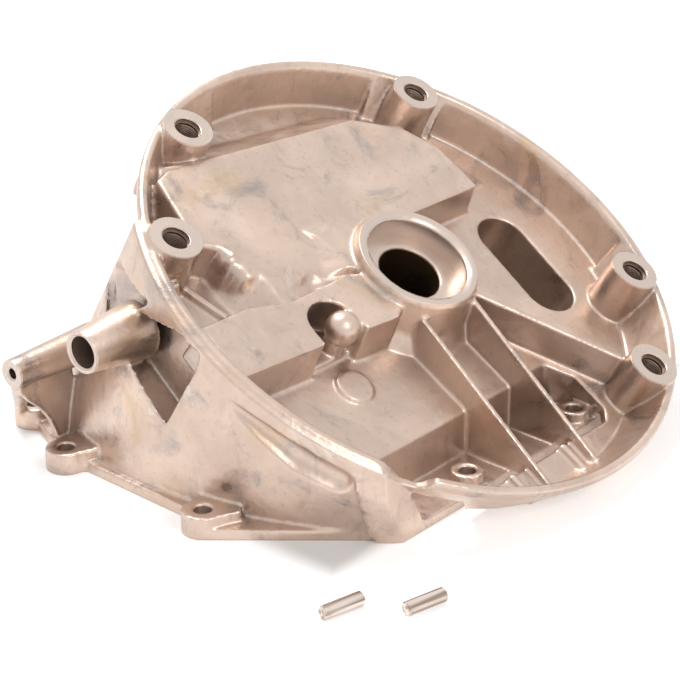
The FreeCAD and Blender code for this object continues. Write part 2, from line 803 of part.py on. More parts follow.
def thread_bores():
    """Blind tapping holes with a small lead-in at the pad face."""
    shapes = []
    for name, angle in PAD_ANGLES.items():
        x, y = face_point(angle)
        shapes.append(disc("thread_" + name, FACE, (x, y), "thread_radius", "1", "thread_depth + 1"))
        lead = doc.addObject("Part::Cone", "lead_" + name)
        lead.setExpression("Radius1", cells("thread_radius"))
        lead.setExpression("Radius2", cells("thread_radius + 2 * thread_chamfer"))
        lead.setExpression("Height", cells("2 * thread_chamfer"))
        lead.Placement.Rotation = FreeCAD.Rotation(V(0, 1, 0), size("face_tilt"))
        for axis, expression in (("x", x + " * cos(face_tilt) - thread_chamfer * sin(face_tilt)"),
                                 ("y", y),
                                 ("z", "0 - " + x + " * sin(face_tilt) - thread_chamfer * cos(face_tilt)")):
            lead.setExpression("Placement.Base." + axis, cells(expression))
        shapes.append(lead)
    return shapes


def seal_boss():
    """The seal boss with its spread foot, and the bearing tube that hangs below it into the chamber."""
    boss = turned("seal_boss", FACE, [
        ("0", "0 - seal_boss_drop"),
        ("seal_boss_radius - seal_boss_round", "0 - seal_boss_drop"),
        ("seal_boss_radius", "0 - seal_boss_drop - seal_boss_round"),
        ("seal_boss_radius + 1.5 + boss_foot * 0.2", "0 - bowl_depth + boss_foot"),
        ("seal_boss_radius + 2 + boss_foot * 0.6", "0 - bowl_depth + boss_foot * 0.2"),
        ("seal_boss_radius + 2 + boss_foot", "0 - number_depth"),
        ("0", "0 - number_depth"),
    ])
    tube = disc("bearing_tube", FACE, ("0", "0"), "bearing_radius", "0 - bowl_depth",
                "bearing_length - bowl_depth")
    return [boss, tube]


def seal_bore():
    """The stepped bore for the oil seal and the crankshaft."""
    return turned("seal_bore", FACE, [
        ("0", "1"),
        ("seal_radius + seal_chamfer + 1", "1"),
        ("seal_radius + seal_chamfer", "0 - seal_boss_drop"),
        ("seal_radius", "0 - seal_boss_drop - seal_chamfer * 0.6"),
        ("seal_radius", "0 - seal_boss_drop - seal_depth"),
        ("crank_radius", "0 - seal_boss_drop - seal_depth"),
        ("crank_radius", "0 - bearing_length - 5"),
        ("0", "0 - bearing_length - 5"),
    ])


def slot_shape(name, wall, top, depth):
    """A round-ended slot, or the cup round it."""
    radius = "slot_radius + " + wall
    shapes = [
        disc(name + "_start", FACE, ("slot_start_a", "slot_b + 1.5"), radius, top, depth),
        disc(name + "_end", FACE, ("slot_end_a", "slot_b - 1.5"), radius, top, depth),
        prism(name + "_middle", FACE, [
            ("slot_start_a", "slot_b + 1.5 - ( " + radius + " )"),
            ("slot_end_a", "slot_b - 1.5 - ( " + radius + " )"),
            ("slot_end_a", "slot_b - 1.5 + ( " + radius + " )"),
            ("slot_start_a", "slot_b + 1.5 + ( " + radius + " )"),
        ], top, depth),
    ]
    return joined(name, shapes)


def chamber():
    """The hollow crank chamber, open at the split face."""
    drum = segment("chamber", "( housing_radius - housing_wall )", "( housing_back - housing_wall )",
                   "0 - chamber_roof", "2 * housing_radius")
    reach = "3 * housing_radius"
    wall = prism("chamber_wall", SPLIT, [
        ("wall_face - housing_wall", "0 - " + reach), (reach, "0 - " + reach),
        (reach, reach), ("wall_face - housing_wall", reach),
    ], "0 - 5", "3 * housing_radius", down=False)
    boss = prism("recess_backing", SPLIT, [
        ("tube_one_x - 17", "split_drop + tube_one_z - 31"),
        ("tube_one_x + 42", "split_drop + tube_one_z - 31"),
        ("tube_one_x + 42", "split_drop + tube_one_z + 26"),
        ("tube_one_x - 17", "split_drop + tube_one_z + 26"),
    ], "recess_floor - housing_wall", "housing_radius", down=False, role="XZ_Plane")
    bearing = disc("chamber_bearing", FACE, ("0", "0"), "bearing_radius", "0", "bearing_length")
    cup = slot_shape("slot_cup", "housing_wall", "0", "bowl_depth + slot_depth + housing_wall")
    return removed("chamber_core", drum, joined("chamber_islands", [wall, boss, bearing, cup]))


def deck_hollow():
    """The chamber's roof follows the deck and the block above it."""
    deck_core = prism("deck_core", FACE, [
        ("0 - housing_back + housing_wall", "0 - deck_left + 22"),
        ("0 - housing_back + housing_wall", "deck_right - 12"),
        ("0 - deck_front - 8", "deck_right - 8"),
        ("0 - deck_front - 8", "0 - 10"),
        ("0 - deck_tip - 7", "0 - deck_left / 2"),
        ("0 - deck_tip - 7", "0 - deck_left + 22"),
    ], "0 - deck_drop - plate", "chamber_roof - deck_drop - plate + 1")
    block_core = prism("block_core", FACE, [
        ("0 - block_back + 9", "0 - block_left + 10"),
        ("0 - block_back + 12", "post_pocket_b - post_pocket_radius - 5"),
        ("block_front - 6", "post_pocket_b - post_pocket_radius - 5"),
        ("block_front - 7", "0 - block_left + 10"),
    ], "0 - deck_drop - plate - 1", "chamber_roof - deck_drop - plate + 1")
    back_core = prism("back_core", FACE, [
        ("0 - deck_back + 6", "0 - deck_left + 26"),
        ("0 - housing_back - 4", "0 - deck_left + 26"),
        ("0 - housing_back - 4", "deck_right - 22"),
        ("0 - deck_back + 9", "deck_right - 34"),
    ], "0 - deck_drop - plate", "chamber_roof - deck_drop - plate + 5")
    return [deck_core, block_core, back_core]


def notch():
    """The soft dip in the rim in front of the corner boss, steeper on its low side."""
    body = new_body("notch", FACE)
    sketch = new_sketch(body, role="YZ_Plane", turn="notch_angle")
    outline(sketch, [
        ("0 - notch_width * 0.66", "3"),
        ("0 - notch_width * 0.54", "0 - rim_drop"),
        ("0 - notch_width * 0.38", "0 - rim_drop - notch_depth * 0.15"),
        ("0 - notch_width * 0.2", "0 - rim_drop - notch_depth * 0.6"),
        ("0 - notch_width * 0.02", "0 - rim_drop - notch_depth"),
        ("notch_width * 0.23", "0 - rim_drop - notch_depth"),
        ("notch_width * 0.34", "0 - rim_drop - notch_depth * 0.6"),
        ("notch_width * 0.43", "0 - rim_drop"),
        ("notch_width * 0.5", "3"),
    ])
    pad(body, sketch, "2 * housing_radius")
    near = disc("notch_keep", FACE, ("0", "0"), "floor_radius", "10", "60")
    return removed("rim_notch", body, near)


def dips():
    """Small deep pockets beside two of the mounting pads."""
    places = [("0 - 59", "71"), ("0 - 66", "0 - 84")]
    return [disc("dip_%d" % number, FACE, place, "dip_radius", "0", "bowl_depth - 1")
            for number, place in enumerate(places, start=1)]


def along_y(name, x, z, radius, near, far, far_radius=None):
    """A round bar or cone along Y between two distances in front of the crankshaft axis."""
    if far_radius:
        bar = doc.addObject("Part::Cone", name)
        bar.setExpression("Radius1", cells(radius))
        bar.setExpression("Radius2", cells(far_radius))
    else:
        bar = doc.addObject("Part::Cylinder", name)
        bar.setExpression("Radius", cells(radius))
    bar.setExpression("Height", cells("(%s) - (%s)" % (near, far)))
    bar.Placement.Rotation = FreeCAD.Rotation(V(1, 0, 0), -90)
    bar.setExpression("Placement.Base.x", cells(x))
    bar.setExpression("Placement.Base.y", cells("0 - (%s)" % near))
    bar.setExpression("Placement.Base.z", cells(z))
    return bar


def tubes():
    """The two side tubes, with the strut and the web under the longer one."""
    one = along_y("tube_one", "tube_one_x", "tube_one_z", "tube_one_radius", "tube_reach", "tube_root + 4",
                  "tube_one_root_radius")
    two = along_y("tube_two", "tube_two_x", "tube_two_z", "tube_two_radius", "tube_reach", "tube_root - 10",
                  "tube_two_root_radius")
    strut = cone("tube_strut", SPLIT, ("strut_top_x", "strut_top_y", "strut_top_z"),
                 ("strut_foot_x", "strut_foot_y", "strut_foot_z"), "strut_radius", "strut_radius * 0.5")
    level = "split_drop + tube_two_z"
    web = prism("tube_web", SPLIT, [
        ("0 - tube_reach + 3", level),
        ("0 - tube_reach + 3", level + " - 9"),
        ("0 - tube_reach + 8", level + " - 15"),
        ("0 - tube_reach + 13", level + " - 19.5"),
        ("0 - tube_reach + 17", "flange_thickness + 9"),
        ("0 - tube_reach + 21", "flange_thickness - 1"),
        ("0 - tube_root - 2", "flange_thickness - 1"),
        ("0 - tube_root - 2", level),
    ], "tube_two_x - web_width", "web_width", down=False, role="YZ_Plane")
    return [one, two, strut, web]


def tube_bores():
    """The blind bores in the side tubes."""
    mouth = "tube_reach + 1"
    end = "tube_root + 6"
    return [
        along_y("tube_one_hole", "tube_one_x", "tube_one_z", "tube_one_bore", mouth, end),
        along_y("tube_two_hole", "tube_two_x", "tube_two_z", "tube_two_bore", mouth, end),
    ]


def side_recesses():
    """The two three-sided recesses in the near wall, below and above the first tube."""
    centre = "split_drop + tube_one_z"
    lower = prism("lower_recess", SPLIT, [
        ("tube_one_x + 2", centre + " - 9"),
        ("tube_one_x + 23", centre + " - 26"),
        ("tube_one_x + 39", centre),
        ("tube_one_x + 41", centre + " + 6"),
        ("tube_one_x + 30", centre + " + 10"),
        ("tube_one_x + 5", centre + " + 8"),
    ], "housing_radius + 2", "housing_radius + 2 - recess_floor", lean="0 - recess_draft", role="XZ_Plane")
    upper = prism("upper_recess", SPLIT, [
        ("tube_one_x - 21", centre + " + 18"),
        ("tube_one_x - 18", centre + " - 1"),
        ("tube_one_x + 11", centre + " + 15"),
    ], "housing_radius - 4", "housing_radius - recess_floor", lean="0 - recess_draft", role="XZ_Plane")
    return [lower, upper]


def crescent():
    """The long groove in the outside wall under the rim, pointed at one end and round at the other."""
    start = ("groove_start_a", "groove_start_b", "groove_start_height")
    bend = ("groove_bend_a", "groove_bend_b", "groove_height")
    end = ("groove_end_a", "groove_end_b", "groove_height")
    return [
        cone("groove_point", FACE, start, bend, "groove_start_radius", "groove_radius"),
        ball("groove_bend", bend, "groove_radius + 0.2"),
        cone("groove_middle", FACE, bend, end, "groove_radius", "groove_end_radius"),
        ball("groove_end", end, "groove_end_radius + 0.1"),
    ]


def hollow_shell():
    """The thin-walled shell: bowl, housing, flange and lugs, with everything that is cut out of them."""
    trimmed = removed("housing_trim", housing(), beyond_walls())
    metal = joined("shell_metal", [bowl(), high_skirt(), corner_column(), trimmed, flange()] + lugs())
    space = joined("shell_space", [
        bowl_hollow(),
        wall_panel("panel_one", "panel_one_middle", "panel_one_sweep"),
        wall_panel("panel_two", "panel_two_middle", "panel_two_sweep"),
        skirt_clearance(), deep_pocket(), number_floor(), chamber(),
    ] + side_recesses() + crescent())
    return removed("hollow_shell", metal, space)


def raised_metal():
    """Deck and block inside the rim, with the hollow between them and the pocket round the post."""
    inside = disc("inside_rim", FACE, ("0", "0"), "rim_radius - rim_width / 2", "0", "number_depth + 1")
    beds = removed("trough_beds", joined("deck_metal", [deck(), deck_ramp(), trough_bed()]),
                   joined("leaf", leaf()))
    whole = shared("raised_metal", joined("deck_and_block", [beds, block()]), inside)
    dipped = removed("dipped_metal", whole, joined("dips", dips()))
    return removed("pocketed_metal", dipped, joined("post_pocket", post_pocket()))


def crankcase():
    """The whole casting, with its machined bores."""
    floor_disc = disc("floor_disc", FACE, ("disc_a", "disc_b"), "disc_radius",
                      "0 - number_depth + disc_height", "disc_height + 1", taper="20")
    metal = joined("all_metal", [hollow_shell(), raised_metal(), floor_disc] + corner_bosses() + ribs()
                   + mounting_pads() + seal_boss() + post() + tubes())
    slot = slot_shape("slot", "0", "5", "bowl_depth + slot_depth + 5")
    below = whole_plane("below_split", "0 - 2 * housing_radius", "2 * housing_radius")
    space = joined("all_space", [seal_bore(), slot, notch(), below] + thread_bores() + bolt_holes()
                   + deck_hollow() + tube_bores())
    casting = removed("casting", metal, space)
    casting.Label = "crankcase"
    return casting


def dowel_pin(label, x, y):
    """A hardened dowel pin with chamfered ends, lying on the ground in front of the casting."""
    body = doc.addObject("PartDesign::Body", label)
    sketch = new_sketch(body, role="XZ_Plane", turn="0")
    outline(sketch, [
        ("0", "0"),
        ("dowel_radius - dowel_chamfer", "0"),
        ("dowel_radius", "dowel_chamfer"),
        ("dowel_radius", "dowel_length - dowel_chamfer"),
        ("dowel_radius - dowel_chamfer", "dowel_length"),
        ("0", "dowel_length"),
    ])
    feature = body.newObject("PartDesign::Revolution", label + "_turn")
    feature.Profile = sketch
    feature.ReferenceAxis = (sketch, ["V_Axis"])
    lie = FreeCAD.Rotation(V(0, 0, 1), size("pin_heading")).multiply(FreeCAD.Rotation(V(0, 1, 0), 90))
    body.Placement.Rotation = lie
    for axis, expression in (("x", x), ("y", y), ("z", "dowel_radius - split_drop")):
        body.setExpression("Placement.Base." + axis, cells(expression))
    body.Label = label
    return body


pieces = [
    crankcase(),
    dowel_pin("dowel_pin_left", "left_pin_x", "left_pin_y"),
    dowel_pin("dowel_pin_right", "right_pin_x", "right_pin_y"),
]
doc.recompute()

# Every object has to have worked out before anything is written
for thing in doc.Objects:
    if "Invalid" in thing.State or "Error" in thing.State:
        raise RuntimeError("failed: %s %s" % (thing.Name, thing.State))

os.makedirs("parts", exist_ok=True)
for piece in pieces:
    shape = piece.Shape
    if shape.isNull() or not shape.isValid():
        raise RuntimeError("bad shape: " + piece.Label)
    shape.exportStep("parts/%s.step" % piece.Label)
    box = shape.BoundBox
    print(piece.Label, "solids", len(shape.Solids), "volume", round(shape.Volume), "size",
          [round(v, 1) for v in (box.XMin, box.XMax, box.YMin, box.YMax, box.ZMin, box.ZMax)])
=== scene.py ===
# %% [markdown]
# # A die-cast engine crankcase half
#
# This lesson dresses the lower crankcase half of a small engine. The casting is one piece of
# aluminium, tilted on its flat split face, and two loose dowel pins lie in front of it.
# The shapes come from the imported model, so the work here is mostly rounding, metal and light.
# The frame is loaded first.

import json
import math

import bpy
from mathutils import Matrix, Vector


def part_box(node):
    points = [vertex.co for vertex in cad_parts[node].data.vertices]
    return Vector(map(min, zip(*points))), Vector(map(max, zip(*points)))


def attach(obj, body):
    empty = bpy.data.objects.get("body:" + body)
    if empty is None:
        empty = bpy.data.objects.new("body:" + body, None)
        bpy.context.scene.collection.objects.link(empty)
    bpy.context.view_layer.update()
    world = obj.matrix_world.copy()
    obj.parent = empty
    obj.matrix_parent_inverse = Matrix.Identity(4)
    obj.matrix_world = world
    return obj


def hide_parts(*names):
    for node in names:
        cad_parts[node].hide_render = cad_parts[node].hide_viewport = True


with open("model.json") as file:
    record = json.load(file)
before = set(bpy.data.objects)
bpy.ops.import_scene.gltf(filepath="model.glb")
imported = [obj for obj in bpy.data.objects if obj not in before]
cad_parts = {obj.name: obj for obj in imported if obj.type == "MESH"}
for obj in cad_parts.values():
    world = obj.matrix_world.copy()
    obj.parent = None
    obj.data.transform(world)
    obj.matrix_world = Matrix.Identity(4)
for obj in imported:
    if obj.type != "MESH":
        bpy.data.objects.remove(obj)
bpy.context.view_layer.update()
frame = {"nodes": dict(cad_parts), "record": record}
MM = 0.001
TILT = math.radians(30)
GROUND = -70 * MM
AXIS = Vector((math.sin(TILT), 0, math.cos(TILT)))
DOWNHILL = Vector((math.cos(TILT), 0, -math.sin(TILT)))
mounts = {mount["name"]: mount for mount in frame["record"]["mounts"]}
print("nodes:", sorted(frame["nodes"]), "mounts:", len(mounts))

# %% [markdown]
# ## Camera
#
# A product photograph is taken with a long lens from a little above. The lens, place and turn were
# worked out from the circles of the mounting pads, so the camera is set before anything else.

# %% Place the camera
camera_data = bpy.data.cameras.new("photo_camera")
camera_data.sensor_width = 36
camera_data.lens = 101.78
camera_data.clip_start = 0.01
camera = bpy.data.objects.new("photo_camera", camera_data)
camera.location = (0.42946, -0.53731, 0.27766)
camera.rotation_euler = (math.radians(65.453), 0, math.radians(41.215))
bpy.context.scene.collection.objects.link(camera)
bpy.context.scene.camera = camera
print("camera lens", camera_data.lens, "mm")

# %% [markdown]
# ## Small helpers for node work
#
# Materials are graphs. A few short helpers keep each graph readable: one adds a node, one joins two
# sockets, and others make a sum, a soft step, a mix or a noise in a single line.


# %% Helpers for shader nodes
def add_node(tree, kind, **values):
    """Add a node and set its properties."""
    node = tree.nodes.new(kind)
    for name, value in values.items():
        setattr(node, name, value)
    return node


def feed(tree, socket, value):
    """Join a socket to another, or give it a plain value."""
    if isinstance(value, bpy.types.NodeSocket):
        tree.links.new(value, socket)
    else:
        socket.default_value = value


def maths(tree, operation, first, second=0.0, clamp=False):
    """One sum of two values."""
    node = add_node(tree, "ShaderNodeMath", operation=operation, use_clamp=clamp)
    feed(tree, node.inputs[0], first)
    feed(tree, node.inputs[1], second)
    return node.outputs[0]


def ramp(tree, value, low, high, start=0.0, end=1.0):
    """Spread a value between two limits, softly."""
    node = add_node(tree, "ShaderNodeMapRange", interpolation_type="SMOOTHSTEP")
    feed(tree, node.inputs["Value"], value)
    node.inputs["From Min"].default_value = low
    node.inputs["From Max"].default_value = high
    node.inputs["To Min"].default_value = start
    node.inputs["To Max"].default_value = end
    return node.outputs[0]


def blend_colour(tree, factor, first, second):
    """Mix two colours by a factor."""
    node = add_node(tree, "ShaderNodeMix", data_type="RGBA")
    feed(tree, node.inputs["Factor"], factor)
    feed(tree, node.inputs[6], first)
    feed(tree, node.inputs[7], second)
    return node.outputs[2]


def noise(tree, vector, scale, detail=2.0, roughness=0.5, distortion=0.0):
    """A cloudy pattern between 0 and 1."""
    node = add_node(tree, "ShaderNodeTexNoise")
    feed(tree, node.inputs["Vector"], vector)
    node.inputs["Scale"].default_value = scale
    node.inputs["Detail"].default_value = detail
    node.inputs["Roughness"].default_value = roughness
    node.inputs["Distortion"].default_value = distortion
    return node.outputs["Fac"]


print("node helpers ready")

# %% [markdown]
# ## Helpers for node groups
#
# What several materials share goes into a node group, so it is built once. One helper makes a group
# with named sockets, and the other places it in a material.


# %% Helpers for node groups
def new_group(name, inputs, outputs):
    """A node group with named sockets, and its two end nodes."""
    group = bpy.data.node_groups.new(name, "ShaderNodeTree")
    for label, kind in inputs:
        group.interface.new_socket(label, in_out="INPUT", socket_type=kind)
    for label, kind in outputs:
        group.interface.new_socket(label, in_out="OUTPUT", socket_type=kind)
    start = group.nodes.new("NodeGroupInput")
    end = group.nodes.new("NodeGroupOutput")
    return group, start, end


def use_group(tree, group, **values):
    """Place a group in a material and feed its inputs."""
    node = add_node(tree, "ShaderNodeGroup", node_tree=group)
    for label, value in values.items():
        feed(tree, node.inputs[label], value)
    return node


print("group helpers ready")

# %% [markdown]
# ## Cast skin
#
# Die-cast aluminium is never one grey. Where hot metal ran last it has blue-grey smears, which here are
# partly painted dark reflections. Release agent bakes on as golden stains, and the skin is full of very
# soft waves. One group makes all of that from noises of several sizes. First come the noises.

# %% Cast skin patterns
skin_group, skin_in, skin_out = new_group(
    "cast_skin",
    [("Vector", "NodeSocketVector")],
    [("Color", "NodeSocketColor"), ("Roughness", "NodeSocketFloat"), ("Height", "NodeSocketFloat")],
)
place = skin_in.outputs["Vector"]
flow = add_node(skin_group, "ShaderNodeMapping")
feed(skin_group, flow.inputs["Vector"], place)
flow.inputs["Rotation"].default_value = (0, math.radians(25), math.radians(20))
flow.inputs["Scale"].default_value = (1.0, 1.0, 0.22)
cloud = noise(skin_group, place, 20, 4, 0.6, 0.6)
smear_and_sheen = noise(skin_group, place, 31, 6, 0.62, 1.6)
stain = noise(skin_group, place, 27, 4, 0.55, 1.1)
pale = noise(skin_group, place, 55, 5, 0.65, 0.8)
streak = noise(skin_group, flow.outputs[0], 120, 5, 0.65, 0.3)
speck = noise(skin_group, place, 420, 3, 0.65)
grain = noise(skin_group, place, 1700, 2, 0.6)
print("cast skin patterns use", len(skin_group.nodes), "nodes")

# %% [markdown]
# ## Cast skin layers
#
# The colours are laid over each other like thin washes. Each row names a pattern, the limits between which
# it fades in, how much it covers at most, and its tint. The smears are also shinier than the rest.

# %% Cast skin layers
LAYERS = [
    # painted reflection in part: the blue-grey smear tint stands in for a dark sheen as well as flow marks
    (smear_and_sheen, 0.53, 0.70, 0.66, (0.33, 0.30, 0.30, 1)),
    (stain, 0.56, 0.72, 0.55, (0.64, 0.46, 0.29, 1)),
    (pale, 0.58, 0.74, 0.50, (0.84, 0.74, 0.67, 1)),
    (streak, 0.55, 0.78, 0.45, (0.33, 0.27, 0.235, 1)),
    (speck, 0.55, 0.80, 0.40, (0.30, 0.24, 0.205, 1)),
]
clouds = ramp(skin_group, cloud, 0.33, 0.68)
skin = blend_colour(skin_group, clouds, (0.61, 0.475, 0.395, 1), (0.765, 0.60, 0.50, 1))
for pattern, low, high, most, tint in LAYERS:
    skin = blend_colour(skin_group, ramp(skin_group, pattern, low, high, 0.0, most), skin, tint)
feed(skin_group, skin_out.inputs["Color"], skin)
feed(skin_group, skin_out.inputs["Roughness"], ramp(skin_group, smear_and_sheen, 0.3, 0.72, 0.43, 0.25))
waves = maths(skin_group, "MULTIPLY", noise(skin_group, place, 95, 3, 0.5, 0.6), 0.9)
fine = maths(skin_group, "MULTIPLY", speck, 0.22)
finest = maths(skin_group, "MULTIPLY", grain, 0.10)
small_relief = maths(skin_group, "ADD", fine, finest)
feed(skin_group, skin_out.inputs["Height"], maths(skin_group, "ADD", waves, small_relief))
print("cast skin has", len(skin_group.nodes), "nodes")

# %% [markdown]
# ## Machined faces
#
# After casting, only a few faces are cut: the tops of the five pads, the ring and step for the seal,
# the ends of the tubes and the split face. They are found by their place. Height and radius about the
# crankshaft's axis come from the object's own coordinates, turned back by the tilt.

# %% Place on the engine face
cut_group, cut_in, cut_out = new_group(
    "machined_faces",
    [("Vector", "NodeSocketVector")],
    [("Mask", "NodeSocketFloat"), ("Rings", "NodeSocketFloat"), ("Bore_Shade", "NodeSocketFloat"),
     ("Hole_Shade", "NodeSocketFloat")],
)
turned_back = add_node(cut_group, "ShaderNodeVectorRotate", rotation_type="Y_AXIS")
feed(cut_group, turned_back.inputs["Vector"], cut_in.outputs["Vector"])
turned_back.inputs["Angle"].default_value = -TILT
face = add_node(cut_group, "ShaderNodeSeparateXYZ")
feed(cut_group, face.inputs[0], turned_back.outputs[0])
body = add_node(cut_group, "ShaderNodeSeparateXYZ")
feed(cut_group, body.inputs[0], cut_in.outputs["Vector"])
flat_radius = add_node(cut_group, "ShaderNodeCombineXYZ")
feed(cut_group, flat_radius.inputs[0], face.outputs["X"])
feed(cut_group, flat_radius.inputs[1], face.outputs["Y"])
radius_node = add_node(cut_group, "ShaderNodeVectorMath", operation="LENGTH")
feed(cut_group, radius_node.inputs[0], flat_radius.outputs[0])
radius = radius_node.outputs["Value"]
height = face.outputs["Z"]
print("height and radius use", len(cut_group.nodes), "nodes")

# %% [markdown]
# ## Masks for the machined faces
#
# Each face is a soft step in height, in radius or in both, and the largest of them is the mask. The
# rings are a noise that only knows the radius, like the marks of a lathe. The bore and the pad holes have
# masks of their own, which paint shade into them.

# %% Machined masks
pad_tops = ramp(cut_group, height, -0.5 * MM, -0.25 * MM)
ring_top = maths(cut_group, "MULTIPLY", ramp(cut_group, height, -1.5 * MM, -1.3 * MM),
                 ramp(cut_group, radius, 26 * MM, 25.6 * MM))
seal_step = maths(cut_group, "MULTIPLY", ramp(cut_group, height, -10.8 * MM, -10.4 * MM),
                  ramp(cut_group, radius, 23.4 * MM, 23.0 * MM))
tube_ends = ramp(cut_group, body.outputs["Y"], -131.2 * MM, -131.7 * MM)
under = ramp(cut_group, body.outputs["Z"], -69.6 * MM, -69.8 * MM)
mask = pad_tops
for part in (ring_top, seal_step, tube_ends, under):
    mask = maths(cut_group, "MAXIMUM", mask, part)
feed(cut_group, cut_out.inputs["Mask"], mask)
rings = add_node(cut_group, "ShaderNodeTexNoise", noise_dimensions="1D")
feed(cut_group, rings.inputs["W"], maths(cut_group, "MULTIPLY", radius, 2600.0))
rings.inputs["Scale"].default_value = 1.0
feed(cut_group, cut_out.inputs["Rings"], rings.outputs["Fac"])
# painted shade: the crank bore's wall is masked here and coloured almost black
bore = maths(cut_group, "MULTIPLY", ramp(cut_group, height, -10.1 * MM, -10.6 * MM),
             ramp(cut_group, radius, 14.5 * MM, 14.0 * MM))
feed(cut_group, cut_out.inputs["Bore_Shade"], bore)
nearest = 1.0
pad_holes = [mounts[name] for name in sorted(mounts) if name.startswith("pad_hole")]
for mount in pad_holes:
    centre = Vector(mount["pos_m"])
    gap = add_node(cut_group, "ShaderNodeVectorMath", operation="DISTANCE")
    feed(cut_group, gap.inputs[0], flat_radius.outputs[0])
    gap.inputs[1].default_value = (centre.dot(DOWNHILL), centre.y, 0)
    nearest = maths(cut_group, "MINIMUM", gap.outputs["Value"], nearest)
# painted shade: the pad holes below their counterbores are masked here and coloured darker
holes = maths(cut_group, "MULTIPLY", ramp(cut_group, nearest, 5.9 * MM, 5.7 * MM),
              ramp(cut_group, height, -1.0 * MM, -2.6 * MM))
feed(cut_group, cut_out.inputs["Hole_Shade"], holes)
print("machined faces use", len(cut_group.nodes), "nodes for", len(pad_holes), "pad holes")

# %% [markdown]
# ## Aluminium for the casting
#
# The material puts the two groups together. Pointiness tells raised edges, which handling polishes and
# which also get a painted highlight, from inner corners, which get a painted dark line of shade. Ambient
# occlusion finds the pockets, which get painted shade in dark brown. The crank bore is painted almost
# black and the pad holes darker, as painted shade.

# %% Cast aluminium colour
cast = bpy.data.materials.new("cast_aluminium")
cast.use_nodes = True
tree = cast.node_tree
shader = tree.nodes["Principled BSDF"]
coords = add_node(tree, "ShaderNodeTexCoord").outputs["Object"]
skin = use_group(tree, skin_group, Vector=coords)
cut = use_group(tree, cut_group, Vector=coords)
uncut = maths(tree, "SUBTRACT", 1.0, cut.outputs["Mask"])
bend = add_node(tree, "ShaderNodeNewGeometry").outputs["Pointiness"]
hollow = add_node(tree, "ShaderNodeAmbientOcclusion", samples=8, only_local=True)
hollow.inputs["Distance"].default_value = 34 * MM
openness = hollow.outputs["AO"]
# painted highlight: raised, open edges are coloured near-white, partly as wear that polishes them
raised = maths(tree, "MULTIPLY", ramp(tree, bend, 0.518, 0.575), ramp(tree, openness, 0.3, 0.75))
worn_edge_highlight = maths(tree, "MULTIPLY", raised, uncut)
# painted shade: inner corners get a dark line
crease_shade = maths(tree, "MULTIPLY", ramp(tree, bend, 0.49, 0.44), uncut)
# painted shade: pockets that occlusion finds are coloured dark brown
hollow_shade = ramp(tree, openness, 0.1, 0.85, 1.0, 0.0)
lathe_lines = ramp(tree, cut.outputs["Rings"], 0.3, 0.7)
milled = blend_colour(tree, lathe_lines, (0.62, 0.515, 0.45, 1), (0.70, 0.585, 0.515, 1))
COATS = [
    (hollow_shade, 0.46, (0.30, 0.26, 0.24, 1)),
    (crease_shade, 0.5, (0.22, 0.18, 0.16, 1)),
    (worn_edge_highlight, 0.75, (0.92, 0.84, 0.78, 1)),
    (cut.outputs["Mask"], 0.92, milled),
    (cut.outputs["Hole_Shade"], 0.6, (0.33, 0.255, 0.22, 1)),
    (cut.outputs["Bore_Shade"], 1.0, (0.17, 0.105, 0.06, 1)),
]
colour = skin.outputs["Color"]
for where, most, tint in COATS:
    colour = blend_colour(tree, maths(tree, "MULTIPLY", where, most), colour, tint)
feed(tree, shader.inputs["Base Color"], colour)
print("aluminium colour has", len(COATS), "coats")

# %% [markdown]
# ## Gloss and relief of the aluminium
#
# Polished edges are smoother and corners are rougher than the skin. Two bumps follow each other: the waves
# and grain of the casting where it isn't machined, and the lathe's rings where it is.

# %% Cast aluminium gloss and relief
shader.inputs["Metallic"].default_value = 0.9
rough = maths(tree, "SUBTRACT", skin.outputs["Roughness"], maths(tree, "MULTIPLY", worn_edge_highlight, 0.1))
rough = maths(tree, "ADD", rough, maths(tree, "MULTIPLY", crease_shade, 0.15), clamp=True)
feed(tree, shader.inputs["Roughness"], rough)
relief = add_node(tree, "ShaderNodeBump")
relief.inputs["Strength"].default_value = 0.6
relief.inputs["Distance"].default_value = 0.6 * MM
feed(tree, relief.inputs["Height"], maths(tree, "MULTIPLY", skin.outputs["Height"], uncut))
turning = add_node(tree, "ShaderNodeBump")
turning.inputs["Strength"].default_value = 0.25
turning.inputs["Distance"].default_value = 0.05 * MM
feed(tree, turning.inputs["Height"], maths(tree, "MULTIPLY", cut.outputs["Rings"], cut.outputs["Mask"]))
feed(tree, turning.inputs["Normal"], relief.outputs[0])
feed(tree, shader.inputs["Normal"], turning.outputs[0])
print("aluminium has", len(tree.nodes), "nodes")

# %% [markdown]
# ## Steel for the dowel pins
#
# Dowel pins are cut from drawn bar and polished. Drawing leaves soft bands along the pin, and here the
# bands are also painted light and dark reflections. The coordinates are turned until one axis runs along
# the pins, and a noise stretched along that axis gives the bands.

# %% Pin steel material
PIN_HEADING = math.radians(77)
steel = bpy.data.materials.new("pin_steel")
steel.use_nodes = True
tree = steel.node_tree
shader = tree.nodes["Principled BSDF"]
coords = add_node(tree, "ShaderNodeTexCoord").outputs["Object"]
turned = add_node(tree, "ShaderNodeVectorRotate", rotation_type="Z_AXIS")
feed(tree, turned.inputs["Vector"], coords)
turned.inputs["Angle"].default_value = -PIN_HEADING
along = add_node(tree, "ShaderNodeMapping")
feed(tree, along.inputs["Vector"], turned.outputs[0])
along.inputs["Scale"].default_value = (25, 620, 620)
drawn_bands_and_sheen = noise(tree, along.outputs[0], 1.0, 2, 0.5)
smear_and_sheen = noise(tree, coords, 300, 3, 0.6)
